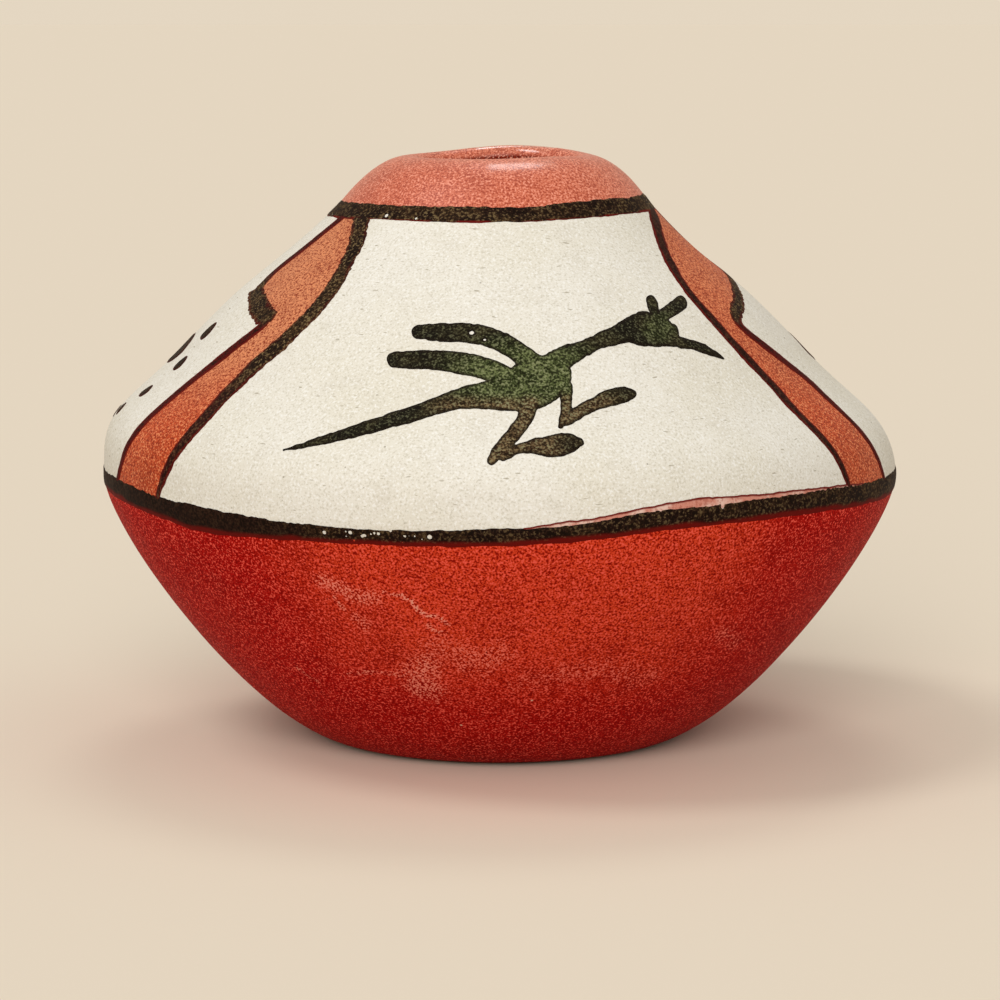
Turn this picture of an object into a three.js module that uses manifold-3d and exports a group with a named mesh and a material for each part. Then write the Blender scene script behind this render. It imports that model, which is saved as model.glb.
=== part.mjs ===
// Painted clay jar, built by hand from courses of clay, then slipped and painted.
// Millimetres and degrees, +Z up. The jar stands on z = 0 with its painted bird facing -Y.

import * as THREE from 'three';
import { mergeVertices } from 'three/addons/utils/BufferGeometryUtils.js';
import Module from 'manifold-3d';

const wasm = await Module();
wasm.setup();

// Outline of the finished jar, as radius and height
const footRadius = 19.8;
const heelFlare = 9.8;
const heelLift = 1.6;
const bellyRadius = 46;
const bellyHeight = 30.8;
const bellyRound = 5.8;
const slopeRadius = 35.3;
const slopeHeight = 46;
const slopeLean = 0.92;
const collarRadius = 18.3;
const collarHeight = 61.5;
const collarFlare = 0.8;
const lipShoulder = 4;
const lipRadius = 10.2;
const vesselHeight = 67.3;
const lipRound = 1.7;

// Thickness of the clay and of what is brushed on it
const wallThickness = 3.8;
const floorThickness = 4.6;
const lapLength = 4.5;
const slipThickness = 0.3;
const slipFootGap = 1.2;
const paintThickness = 0.2;

// The upper half was pushed a little to one side by hand
const shoulderLean = 0.9;
const shoulderLeanTop = 40;
const rimReturn = 0.5;
const rimReturnStart = 55;

// The lip was left a little higher at the back, a little to the right
const lipRise = 0.9;
const lipRiseTurn = 165;
const lipRiseStart = 62.5;
const lipRiseNarrowness = 6;

// Brush lines
const shoulderLineWidth = 2.3;
const shoulderLineWave = 0.95;
const shoulderLineReach = 9;
const shoulderLineWaves = 2;
const shoulderLineLow = -20;
const neckLineWidth = 1.6;
const neckLineWave = 0.35;
const neckLineReach = 5;
const outlineWidth = 2.1;

// Painted panels: how far the whole pattern is turned, and how much it twists on the way up
const patternTurn = 0.6;
const patternTwist = 7.5;

// Above its step, the front right stepped line was drawn further round than the other three
const rightFlare = 8.5;

// Marks in the side panels. The stepped lines turn outward just above the big mark.
const sideMarkHeight = 45.2;
const sideMarkRadius = 3.8;
const sideMarkGap = 3.1;
const sideDotRadius = 1.1;
const sideDotGap = 0.4;
const sideRingDrop = 0.9;
const sideRingHeight = sideMarkHeight - sideRingDrop;
const sideRingFlatness = 0.9;
const sideDotCount = 9;
const sideDotTurn = 30;
const sideRingStart = 150;
const leftMiddle = -90;
const rightMiddle = 92;

// The bird: the height of its body, how far its beak is drawn from it, and the gap kept to the line ahead
const birdHeight = 44;
const birdReach = 24.1;
const beakGap = 3.8;

// Number of steps in each stretch of the outline and round the jar
const roundSteps = 32;
const bowlSteps = 5;
const shoulderSteps = 3;
const slopeSteps = 2;
const collarSteps = 2;
const lipSteps = 3;
const lipTurn = THREE.MathUtils.degToRad(140);

// How far a cutting slab stands out on both sides of the surface that it cuts
const cutReach = 2.5;

const redSlip = { color: 0xb0381f, roughness: 0.45 };
const creamSlip = { color: 0xe8dfcd, roughness: 0.5 };
const blackPaint = { color: 0x33241a, roughness: 0.6 };
const olivePaint = { color: 0x50553a, roughness: 0.65 };
const bareClay = { color: 0xb9805a, roughness: 0.8 };

const jar = new THREE.Group();

function addPiece(name, geometry, look) {
  const material = new THREE.MeshStandardMaterial({ ...look, metalness: 0 });
  const mesh = new THREE.Mesh(geometry, material);
  mesh.name = name;
  jar.add(mesh);
}

// The outline runs from the foot up to the lip and a little way into the mouth

const shoulderHandle = (slopeHeight - bellyHeight) / 2;
const slopeHandle = (collarHeight - slopeHeight) / 2;

const bowlCurve = new THREE.CubicBezierCurve(
  new THREE.Vector2(footRadius, 0),
  new THREE.Vector2(footRadius + heelFlare, heelLift),
  new THREE.Vector2(bellyRadius, bellyHeight - bellyRound),
  new THREE.Vector2(bellyRadius, bellyHeight),
);
const shoulderCurve = new THREE.CubicBezierCurve(
  new THREE.Vector2(bellyRadius, bellyHeight),
  new THREE.Vector2(bellyRadius, bellyHeight + shoulderHandle),
  new THREE.Vector2(slopeRadius + shoulderHandle * slopeLean, slopeHeight - shoulderHandle),
  new THREE.Vector2(slopeRadius, slopeHeight),
);
const slopeCurve = new THREE.CubicBezierCurve(
  new THREE.Vector2(slopeRadius, slopeHeight),
  new THREE.Vector2(slopeRadius - slopeHandle * slopeLean, slopeHeight + slopeHandle),
  new THREE.Vector2(collarRadius + slopeHandle, collarHeight - slopeHandle),
  new THREE.Vector2(collarRadius, collarHeight),
);
const collarCurve = new THREE.CubicBezierCurve(
  new THREE.Vector2(collarRadius, collarHeight),
  new THREE.Vector2(collarRadius - collarFlare, collarHeight + collarFlare),
  new THREE.Vector2(lipRadius + lipShoulder, vesselHeight),
  new THREE.Vector2(lipRadius, vesselHeight),
);
const lipStart = Math.PI / 2;
const lipCurve = new THREE.EllipseCurve(
  lipRadius, vesselHeight - lipRound, lipRound, lipRound, lipStart, lipStart + lipTurn,
);

const outline = new THREE.CurvePath();
[bowlCurve, shoulderCurve, slopeCurve, collarCurve, lipCurve].forEach((curve) => outline.add(curve));
const [bowlEnd, shoulderEnd, slopeEnd, collarEnd, lipEnd] = outline.getCurveLengths();

// A point at a distance along the outline, moved off the finished surface

function outlinePoint(distance, out) {
  const share = distance / lipEnd;
  const along = outline.getTangent(share);
  return outline.getPoint(share).addScaledVector(new THREE.Vector2(along.y, -along.x), out);
}

// Rows round the jar, as distances along the outline. A row lies on each edge of the two lines
// round the jar, and on the slips' boundary under the middle of each line.

function evenly(from, to, steps) {
  return Array.from({ length: steps }, (_, i) => THREE.MathUtils.lerp(from, to, (i + 1) / steps));
}

const halfShoulderLine = shoulderLineWidth / 2;
const halfNeckLine = neckLineWidth / 2;
const rows = [
  0,
  slipFootGap,
  ...evenly(slipFootGap, bowlEnd - halfShoulderLine, bowlSteps),
  bowlEnd,
  bowlEnd + halfShoulderLine,
  ...evenly(bowlEnd + halfShoulderLine, shoulderEnd, shoulderSteps),
  ...evenly(shoulderEnd, slopeEnd - halfNeckLine, slopeSteps),
  slopeEnd,
  slopeEnd + halfNeckLine,
  ...evenly(slopeEnd + halfNeckLine, collarEnd, collarSteps),
  ...evenly(collarEnd, lipEnd, lipSteps),
];
const slipFootRow = 1;
const bellyRow = slipFootRow + bowlSteps + 1;
const slopeRow = bellyRow + 1 + shoulderSteps;
const collarRow = slopeRow + slopeSteps + 1;
const crestRow = collarRow + 1 + collarSteps;
const lipRow = crestRow + lipSteps;

// The inside of the wall lies one lap further down than the row that it belongs to
const finishPoints = rows.map((distance) => outlinePoint(distance, 0));
const clayPoints = rows.map((distance) => outlinePoint(distance, -slipThickness));
const paintPoints = rows.map((distance) => outlinePoint(distance, paintThickness));
const insidePoints = rows.slice(0, crestRow + 1).map((distance) => (
  outlinePoint(Math.max(distance - lapLength, 0), -wallThickness)
));

// The hand-built shape: the upper half leans, the lip rises at the back, and both lines round the jar
// rise and fall with its wall

function shapeByHand(point) {
  const angle = Math.atan2(point.x, -point.y);
  const shoulderTurn = angle - THREE.MathUtils.degToRad(shoulderLineLow);
  const shoulderWave = -shoulderLineWave * Math.cos(shoulderLineWaves * shoulderTurn);
  const nearShoulder = 1 - THREE.MathUtils.smoothstep(Math.abs(point.z - bellyHeight), 0, shoulderLineReach);
  const nearNeck = 1 - THREE.MathUtils.smoothstep(Math.abs(point.z - collarHeight), 0, neckLineReach);
  const over = THREE.MathUtils.smoothstep(point.z, bellyHeight, shoulderLeanTop);
  const back = THREE.MathUtils.smoothstep(point.z, rimReturnStart, vesselHeight);
  const towardsRise = (1 + Math.cos(angle - THREE.MathUtils.degToRad(lipRiseTurn))) / 2;
  const nearLip = THREE.MathUtils.smoothstep(point.z, lipRiseStart, vesselHeight);
  const lipLift = lipRise * towardsRise ** lipRiseNarrowness * nearLip;
  const lift = shoulderWave * nearShoulder + neckLineWave * Math.sin(angle) * nearNeck + lipLift;
  return new THREE.Vector3(point.x + rimReturn * back - shoulderLean * over, point.y, point.z + lift);
}

function weld(geometry) {
  geometry.deleteAttribute('normal');
  geometry.deleteAttribute('uv');
  const welded = mergeVertices(geometry);
  const corners = Array.from(welded.index.array);
  const kept = [];
  for (let i = 0; i < corners.length; i += 3) {
    const [a, b, c] = corners.slice(i, i + 3);
    if (a !== b && b !== c && c !== a) kept.push(a, b, c);
  }
  welded.setIndex(kept);
  return welded;
}

// Faces are split by a rule on their two rows alone, so that pieces that touch split them alike

function spin(section) {
  const geometry = new THREE.LatheGeometry(section, roundSteps);
  const corners = [];
  for (let i = 0; i < roundSteps; i += 1) {
    for (let j = 0; j < section.length - 1; j += 1) {
      const [a, b] = [i * section.length + j, (i + 1) * section.length + j];
      const [c, d] = [b + 1, a + 1];
      const rising = section[j].x + section[j].y < section[j + 1].x + section[j + 1].y;
      corners.push(...(rising ? [a, b, d, b, c, d] : [a, b, c, a, c, d]));
    }
  }
  geometry.setIndex(corners);
  geometry.rotateX(Math.PI / 2);
  const solid = weld(geometry);
  const position = solid.attributes.position;
  for (let i = 0; i < position.count; i += 1) {
    position.setXYZ(i, ...shapeByHand(new THREE.Vector3().fromBufferAttribute(position, i)).toArray());
  }
  return solid;
}

function ring(outer, inner) {
  return spin([...outer, ...inner.slice().reverse(), outer[0]]);
}

// Cutting and joining

function toSolid(geometry) {
  return new wasm.Manifold(new wasm.Mesh({
    numProp: 3,
    vertProperties: new Float32Array(geometry.attributes.position.array),
    triVerts: new Uint32Array(geometry.index.array),
  }));
}

function toGeometry(solid) {
  const mesh = solid.getMesh();
  const geometry = new THREE.BufferGeometry();
  geometry.setAttribute('position', new THREE.BufferAttribute(new Float32Array(mesh.vertProperties), 3));
  geometry.setIndex(Array.from(mesh.triVerts));
  return geometry;
}

// Places on the painted upper half are given by their angle and their share of the way from the line
// round the shoulder to the line round the neck. Angle 0 faces -Y, and +X is at 90 degrees.

const panelLength = slopeEnd - bowlEnd;

function onSurface(degrees, share, out) {
  const section = outlinePoint(bowlEnd + panelLength * share, out);
  const angle = THREE.MathUtils.degToRad(degrees);
  return shapeByHand(new THREE.Vector3(section.x * Math.sin(angle), -section.x * Math.cos(angle), section.y));
}

function shareAt(height) {
  let row = bellyRow + 1;
  while (row < collarRow && finishPoints[row].y < height) row += 1;
  const [below, above] = [finishPoints[row - 1].y, finishPoints[row].y];
  const distance = THREE.MathUtils.mapLinear(height, below, above, rows[row - 1], rows[row]);
  return (distance - bowlEnd) / panelLength;
}

// A closed slab between an inner and an outer grid of points that have the same rows and columns

function slab(inner, outer) {
  const last = inner.length - 1;
  const right = inner[0].length - 1;
  const innerAt = (row, column) => row * (right + 1) + column;
  const outerAt = (row, column) => (row + last + 1) * (right + 1) + column;
  const corners = [];
  const face = (a, b, c, d) => corners.push(a, b, c, a, c, d);
  for (let row = 0; row < last; row += 1) {
    for (let column = 0; column < right; column += 1) {
      const next = column + 1;
      face(outerAt(row, column), outerAt(row, next), outerAt(row + 1, next), outerAt(row + 1, column));
      face(innerAt(row, column), innerAt(row + 1, column), innerAt(row + 1, next), innerAt(row, next));
    }
    face(innerAt(row, 0), outerAt(row, 0), outerAt(row + 1, 0), innerAt(row + 1, 0));
    face(outerAt(row, right), innerAt(row, right), innerAt(row + 1, right), outerAt(row + 1, right));
  }
  for (let column = 0; column < right; column += 1) {
    const next = column + 1;
    face(innerAt(0, column), innerAt(0, next), outerAt(0, next), outerAt(0, column));
    face(outerAt(last, column), outerAt(last, next), innerAt(last, next), innerAt(last, column));
  }
  const positions = [...inner.flat(), ...outer.flat()].flatMap((point) => point.toArray());
  const geometry = new THREE.BufferGeometry();
  geometry.setAttribute('position', new THREE.Float32BufferAttribute(positions, 3));
  geometry.setIndex(corners);
  return toSolid(geometry);
}

// A slab through the jar's skin between two edges, each a list of places on the upper half

function wedge(left, right, columns) {
  const grid = (out) => left.map((start, i) => {
    const line = [];
    for (let j = 0; j <= columns; j += 1) {
      const degrees = THREE.MathUtils.lerp(start.degrees, right[i].degrees, j / columns);
      line.push(onSurface(degrees, start.share, out));
    }
    return line;
  });
  return slab(grid(-cutReach), grid(cutReach));
}

// A slab of one brush width through the jar's skin along a route

function ribbon(route, width) {
  const middle = route.map(({ degrees, share }) => onSurface(degrees, share, 0));
  const outward = route.map(({ degrees, share }, i) => onSurface(degrees, share, 1).sub(middle[i]));
  const grid = (out) => middle.map((point, i) => {
    const ahead = middle[Math.min(i + 1, middle.length - 1)].clone();
    const along = ahead.sub(middle[Math.max(i - 1, 0)]).normalize();
    const side = along.cross(outward[i]).normalize().multiplyScalar(width / 2);
    const base = point.clone().addScaledVector(outward[i], out);
    return [base.clone().sub(side), base.clone().add(side)];
  });
  return slab(grid(-cutReach), grid(cutReach));
}

// Clay: a flat base slab and rings of clay, each lapped down inside the one below it

function layCourses() {
  const baseTop = slipFootRow + 1;
  addPiece('base_slab', spin([
    new THREE.Vector2(0, 0),
    finishPoints[0],
    ...clayPoints.slice(1, baseTop + 1),
    insidePoints[baseTop],
    new THREE.Vector2(footRadius - wallThickness / 2, floorThickness),
    new THREE.Vector2(0, floorThickness),
  ]), bareClay);
  const courses = [
    ['lower_course_1', baseTop, baseTop + 1],
    ['lower_course_2', baseTop + 1, baseTop + 2],
    ['lower_course_3', baseTop + 2, baseTop + 3],
    ['belly_course', baseTop + 3, bellyRow + 1],
    ['shoulder_course', bellyRow + 1, slopeRow - 1],
    ['slope_course', slopeRow - 1, slopeRow + 1],
    ['neck_course', slopeRow + 1, collarRow - 1],
  ];
  for (const [name, first, top] of courses) {
    addPiece(name, ring(clayPoints.slice(first, top + 1), insidePoints.slice(first, top + 1)), bareClay);
  }
  addPiece('rim_coil', ring(clayPoints.slice(collarRow - 1), insidePoints.slice(collarRow - 1)), bareClay);
}

// Edges of the four red dividers, as degrees from the middle of the panel and share of the way up.
// The stepped edge runs up to its step below the share of the step, and on from it above.

const sideMarkShare = shareAt(sideMarkHeight);
const stepShare = sideMarkShare + (sideMarkRadius + sideMarkGap) / panelLength;
const belowStep = (share) => stepShare * share;
const aboveStep = (share) => THREE.MathUtils.lerp(stepShare, 1, share);

const smoothEdge = new THREE.SplineCurve([
  new THREE.Vector2(56.2, -0.05),
  new THREE.Vector2(53.3, 0.12),
  new THREE.Vector2(50.6, 0.34),
  new THREE.Vector2(46.3, 0.58),
  new THREE.Vector2(46.4, 0.73),
  new THREE.Vector2(52.3, 0.88),
  new THREE.Vector2(64.5, 1.05),
]);
const steppedEdge = new THREE.SplineCurve([
  new THREE.Vector2(70, belowStep(-0.08)),
  new THREE.Vector2(66.8, belowStep(0.26)),
  new THREE.Vector2(63.5, belowStep(0.64)),
  new THREE.Vector2(57.4, belowStep(0.88)),
  new THREE.Vector2(57, belowStep(1)),
  new THREE.Vector2(65, aboveStep(0.12)),
  new THREE.Vector2(74, aboveStep(0.22)),
  new THREE.Vector2(77.2, aboveStep(0.45)),
  new THREE.Vector2(75.2, aboveStep(0.74)),
  new THREE.Vector2(70.5, aboveStep(1.13)),
]);
const smoothEdgeSteps = 9;
const steppedEdgeSteps = 18;

// The route of an edge on the left (side -1) or right (side 1) of the panel that faces the turn angle.
// Above the step it can swing out by a flare.

function edgeRoute(curve, steps, side, turn, flare) {
  return curve.getPoints(steps).map(({ x: half, y: share }) => {
    const swing = flare * THREE.MathUtils.smoothstep(share, stepShare, aboveStep(0.3));
    return { degrees: turn + patternTurn + patternTwist * share + side * (half + swing), share };
  });
}

const smoothRoutes = {
  front_left: edgeRoute(smoothEdge, smoothEdgeSteps, -1, 0, 0),
  front_right: edgeRoute(smoothEdge, smoothEdgeSteps, 1, 0, 0),
  back_right: edgeRoute(smoothEdge, smoothEdgeSteps, -1, 180, 0),
  back_left: edgeRoute(smoothEdge, smoothEdgeSteps, 1, 180, 0),
};
const steppedRoutes = {
  front_left: edgeRoute(steppedEdge, steppedEdgeSteps, -1, 360, 0),
  front_right: edgeRoute(steppedEdge, steppedEdgeSteps, 1, 0, rightFlare),
  back_right: edgeRoute(steppedEdge, steppedEdgeSteps, -1, 180, 0),
  back_left: edgeRoute(steppedEdge, steppedEdgeSteps, 1, 180, 0),
};

// Slips: red on the bowl and collar, cream panels and red dividers side by side between them

const widePanelColumns = 10;
const narrowPanelColumns = 6;
const quarterColumns = 8;

// Each quarter of the upper half starts inside a cream panel at every height
const firstQuarter = 10;

function skin(inner, outer, first, last) {
  return ring(outer.slice(first, last + 1), inner.slice(first, last + 1));
}

function brushSlips() {
  addPiece('red_slip_bowl', skin(clayPoints, finishPoints, slipFootRow, bellyRow), redSlip);
  const upper = toSolid(skin(clayPoints, finishPoints, bellyRow, collarRow));
  const panels = {
    front: wedge(smoothRoutes.front_left, smoothRoutes.front_right, widePanelColumns),
    right: wedge(steppedRoutes.front_right, steppedRoutes.back_right, narrowPanelColumns),
    back: wedge(smoothRoutes.back_right, smoothRoutes.back_left, widePanelColumns),
    left: wedge(steppedRoutes.back_left, steppedRoutes.front_left, narrowPanelColumns),
  };
  for (const [name, panel] of Object.entries(panels)) {
    addPiece(`cream_panel_${name}`, toGeometry(upper.intersect(panel)), creamSlip);
  }
  const dividers = [
    ['front_right', 0, panels.front, panels.right],
    ['back_right', 90, panels.right, panels.back],
    ['back_left', 180, panels.back, panels.left],
    ['front_left', 270, panels.left, panels.front],
  ];
  for (const [name, turn, before, after] of dividers) {
    const start = firstQuarter + turn;
    const quarterEdge = (degrees) => smoothRoutes.front_left.map(({ share }) => ({ degrees, share }));
    const quarter = wedge(quarterEdge(start), quarterEdge(start + 90), quarterColumns);
    const divider = upper.intersect(quarter).subtract(before).subtract(after);
    addPiece(`red_divider_${name}`, toGeometry(divider), redSlip);
  }
  addPiece('red_slip_collar', skin(clayPoints, finishPoints, collarRow, lipRow), redSlip);
}

// Paint: lines, birds and side marks on top of the slips

function brushLines(paintSkin) {
  addPiece('shoulder_line', skin(finishPoints, paintPoints, bellyRow - 1, bellyRow + 1), blackPaint);
  addPiece('neck_line', skin(finishPoints, paintPoints, collarRow - 1, collarRow + 1), blackPaint);
  for (const [kind, routes] of [['smooth', smoothRoutes], ['stepped', steppedRoutes]]) {
    for (const [place, route] of Object.entries(routes)) {
      const line = paintSkin.intersect(ribbon(route, outlineWidth));
      addPiece(`${kind}_line_${place}`, toGeometry(line), blackPaint);
    }
  }
}

// One stroke of the brush, seen from the front: a smooth route with its width at even shares of its length

const strokeSteps = 5;

function strokeOutline(route, widths) {
  const curve = new THREE.SplineCurve(route.map(([x, y]) => new THREE.Vector2(x, y)));
  const widest = widths.length - 1;
  const left = [];
  const right = [];
  for (let i = 0; i <= strokeSteps; i += 1) {
    const point = curve.getPoint(i / strokeSteps);
    const along = curve.getTangent(i / strokeSteps);
    const place = (i / strokeSteps) * widest;
    const before = Math.min(Math.floor(place), widest - 1);
    const half = THREE.MathUtils.lerp(widths[before], widths[before + 1], place - before) / 2;
    left.push(new THREE.Vector2(point.x - along.y * half, point.y + along.x * half));
    right.push(new THREE.Vector2(point.x + along.y * half, point.y - along.x * half));
  }
  return new THREE.Shape([...left, ...right.reverse()]);
}

// The bird's strokes, as x and height from its body, with widths along each

const birdStrokes = {
  tail: [[[-23.4, -6.4], [-16.8, -4.6], [-10.5, -2.7], [-5, -1]], [0.2, 1.3, 1.4, 1.6]],
  body: [[[-6, -1.2], [-1, 0], [3, 0.9], [7.6, 2]], [1.4, 2.8, 4.4, 2.2]],
  neck: [[[5, 1.4], [8, 3], [10.8, 4.3], [14, 5.2]], [2.6, 1.6, 1.7, 2.4]],
  head: [[[12.4, 4.9], [14.6, 5.3], [17, 5.3], [19, 4.7]], [1.8, 3, 2.9, 1.6]],
  beak: [[[17.6, 4.6], [20.7, 3.9], [22.4, 3.3], [24.1, 2.2]], [1.4, 0.9, 0.7, 0.2]],
  rear_crest: [[[16.4, 5.8], [16.7, 7.4], [16.1, 8.7]], [1, 1, 0.4]],
  front_crest: [[[16.6, 5.8], [18.2, 7.3], [20, 8]], [1, 1.2, 0.8]],
  upper_plume: [[[-9.4, 5.7], [-3.2, 5.5], [1.4, 4.4], [4.6, 2.4]], [0.3, 1.6, 1.6, 1.4]],
  lower_plume: [[[-11.7, 2.8], [-6.4, 2.9], [-1.6, 2.1], [2.6, 0.5]], [0.3, 1.8, 1.8, 1.4]],
  rear_leg: [[[3.6, -0.4], [2.8, -2.6], [1.2, -4.6], [-0.9, -6.6]], [1.8, 1.2, 1.1, 1.3]],
  rear_foot: [[[-1.3, -6.6], [1.8, -5.6], [5.2, -5.4], [8.5, -5.1]], [0.9, 1.8, 1.7, 0.3]],
  front_leg: [[[7, 1], [6.9, -1.4], [6.3, -3.8]], [1.8, 1.2, 1.2]],
  front_foot: [[[6, -3.8], [8.6, -2], [11.2, -0.9], [14.4, -0.7]], [1, 1.5, 1.4, 0.3]],
};
const birdEye = { x: 17.3, height: 5.6, radius: 0.45, steps: 8 };

// The bird is drawn as large as the room between it and the line ahead of its beak allows

function edgeDegrees(route, share) {
  const next = route.findIndex((place) => place.share > share);
  const [before, after] = [route[next - 1], route[next]];
  return THREE.MathUtils.mapLinear(share, before.share, after.share, before.degrees, after.degrees);
}

const birdShare = shareAt(birdHeight);
const lineAhead = onSurface(edgeDegrees(smoothRoutes.front_right, birdShare), birdShare, 0);
const birdScale = (lineAhead.x - outlineWidth / 2 - beakGap) / birdReach;

function facingFront(shape, steps) {
  const cut = new THREE.ExtrudeGeometry(shape, {
    depth: bellyRadius,
    bevelEnabled: false,
    curveSegments: steps,
  });
  cut.scale(birdScale, birdScale, 1);
  cut.rotateX(Math.PI / 2);
  cut.translate(0, -footRadius / 2, birdHeight);
  return cut;
}

function paintBirds(paintSkin) {
  const eye = new THREE.Shape().absarc(birdEye.x, birdEye.height, birdEye.radius, 0, 2 * Math.PI);
  for (const [name, turn] of [['front_bird', 0], ['back_bird', Math.PI]]) {
    const turned = (shape, steps) => toSolid(weld(facingFront(shape, steps).rotateZ(turn)));
    const strokes = Object.values(birdStrokes).map(([route, widths]) => strokeOutline(route, widths));
    const figure = strokes.map((shape) => turned(shape, 1)).reduce((all, next) => all.add(next));
    const bird = paintSkin.intersect(figure.subtract(turned(eye, birdEye.steps)));
    addPiece(name, toGeometry(bird), olivePaint);
  }
}

// Round marks: each is cut by a short post that stands square to the surface

function paintMark(paintSkin, name, degrees, share, radius, steps) {
  const place = onSurface(degrees, share, 0);
  const outward = onSurface(degrees, share, 1).sub(place).normalize();
  const post = weld(new THREE.CylinderGeometry(radius, radius, cutReach * 2, steps));
  post.applyQuaternion(new THREE.Quaternion().setFromUnitVectors(new THREE.Vector3(0, 1, 0), outward));
  post.translate(place.x, place.y, place.z);
  addPiece(name, toGeometry(paintSkin.intersect(toSolid(post))), blackPaint);
}

function paintSideMarks(paintSkin) {
  const markSteps = 16;
  const dotSteps = 8;
  paintMark(paintSkin, 'left_side_mark', leftMiddle, sideMarkShare, sideMarkRadius, markSteps);
  paintMark(paintSkin, 'right_side_mark', rightMiddle, sideMarkShare, sideMarkRadius, markSteps);

  // The dots run round the sides and foot of the big mark, in an arc that is open at the top. It is as
  // wide as the stepped lines beside it and the shoulder line below it allow.
  const ringShare = shareAt(sideRingHeight);
  const ringMiddle = onSurface(leftMiddle, ringShare, 0);
  const linesBeside = [...steppedRoutes.back_left, ...steppedRoutes.front_left];
  const nearest = Math.min(...linesBeside.map(({ degrees, share }) => (
    onSurface(degrees, share, 0).distanceTo(ringMiddle)
  )));
  const roomBeside = nearest - outlineWidth / 2;
  const roomBelow = panelLength * ringShare - halfShoulderLine;
  const dotRoom = sideDotGap + sideDotRadius;
  const sideRingRadius = Math.min(roomBeside - dotRoom, (roomBelow - dotRoom) / sideRingFlatness);
  for (let i = 0; i < sideDotCount; i += 1) {
    const angle = THREE.MathUtils.degToRad(sideRingStart + i * sideDotTurn);
    const share = ringShare + (sideRingRadius * sideRingFlatness * Math.sin(angle)) / panelLength;
    const radius = outlinePoint(bowlEnd + panelLength * share, 0).x;
    const across = (sideRingRadius * Math.cos(angle)) / radius;
    const degrees = leftMiddle - THREE.MathUtils.radToDeg(across);
    paintMark(paintSkin, `left_side_dot_${i + 1}`, degrees, share, sideDotRadius, dotSteps);
  }
}

layCourses();
brushSlips();
const paintSkin = toSolid(skin(finishPoints, paintPoints, bellyRow + 1, collarRow - 1));
brushLines(paintSkin);
paintBirds(paintSkin);
paintSideMarks(paintSkin);

export default jar;
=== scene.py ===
"""Painted clay jar: its clay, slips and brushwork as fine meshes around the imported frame.

Sizes are millimetres and degrees, and become metres where a mesh is made. Angle 0 faces -Y and +X is at
90 degrees. A place on the jar is its angle and its distance along the outline, which runs from the foot up
to the lip and a little way into the mouth.
"""
import math

import bmesh
import bpy
import numpy as np
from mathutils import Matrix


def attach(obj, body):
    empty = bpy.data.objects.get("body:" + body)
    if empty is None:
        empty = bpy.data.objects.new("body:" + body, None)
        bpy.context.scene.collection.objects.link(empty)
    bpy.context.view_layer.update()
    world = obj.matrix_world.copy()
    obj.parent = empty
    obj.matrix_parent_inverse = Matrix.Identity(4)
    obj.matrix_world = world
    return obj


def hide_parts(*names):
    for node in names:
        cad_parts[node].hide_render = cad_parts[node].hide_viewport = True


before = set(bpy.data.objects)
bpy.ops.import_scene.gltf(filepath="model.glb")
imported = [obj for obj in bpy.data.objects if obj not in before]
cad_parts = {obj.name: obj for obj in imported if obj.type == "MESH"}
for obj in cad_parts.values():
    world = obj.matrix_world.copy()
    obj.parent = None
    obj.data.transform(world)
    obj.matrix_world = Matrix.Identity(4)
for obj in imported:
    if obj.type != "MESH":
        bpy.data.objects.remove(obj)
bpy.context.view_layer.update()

METRES = 0.001

# Outline of the finished jar
FOOT_RADIUS = 19.8
HEEL_FLARE = 9.8
HEEL_LIFT = 1.6
BELLY_RADIUS = 46
BELLY_HEIGHT = 30.8
BELLY_ROUND = 5.8
SLOPE_RADIUS = 35.3
SLOPE_HEIGHT = 46
SLOPE_LEAN = 0.92
COLLAR_RADIUS = 18.3
COLLAR_HEIGHT = 61.5
COLLAR_FLARE = 0.8
LIP_SHOULDER = 4
LIP_RADIUS = 10.2
VESSEL_HEIGHT = 67.3
LIP_ROUND = 1.7
LIP_TURN = 140

# The upper half was pushed a little to one side by hand. The lip was left higher at the back right,
# and a little at the front right.
SHOULDER_LEAN = 0.9
LEAN_TOP = 40
RIM_RETURN = 0.5
RIM_RETURN_START = 55
LIP_RISES = [(0.9, 165, 6), (0.25, 38, 16)]     # height, angle and narrowness
LIP_RISE_START = 62.5

# Hollows that hands left in the wall, as depth, size and seed
HOLLOWS = [(0.075, 15, 1), (0.03, 6, 2)]

# Clay and coats
WALL = 3.8
FLOOR = 4.6
LAP = 4.5
FINGER_MARKS = 0.12
SLIP = 0.3
SLIP_FOOT_GAP = 1.2
PAINT = 0.08
LINE_PAINT = 0.05
PAINT_LIFT = 0.02
PAINT_SINK = 0.04
SHOULDER_LINE = 2.3
NECK_LINE = 1.6

# How fine the meshes are
SLIP_CELL = 0.4
PAINT_CELL = 0.2
CLAY_ANGLES = np.arange(-180, 180, 2)
CLAY_ROWS = 12
CURVE_POINTS = 400
SHARP_EDGE = math.radians(50)


# Numbers

# Large odd numbers that set neighbouring places apart
MIXERS = np.array([374761393, 668265263, 2246822519], np.uint64)


def smoothstep(low, high, value):
    share = np.clip((value - low) / (high - low), 0, 1)
    return share * share * (3 - 2 * share)


def lattice(places, seed):
    """A repeatable value from 0 to 1 at each whole-numbered place."""
    with np.errstate(over="ignore"):
        mixed = places @ MIXERS + np.uint64(seed * 3266489917)
        mixed = (mixed ^ (mixed >> np.uint64(13))) * np.uint64(1274126177)
    mixed = mixed ^ (mixed >> np.uint64(16))
    return (mixed & np.uint64(0xFFFFFF)).astype(float) / 0xFFFFFF


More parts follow.
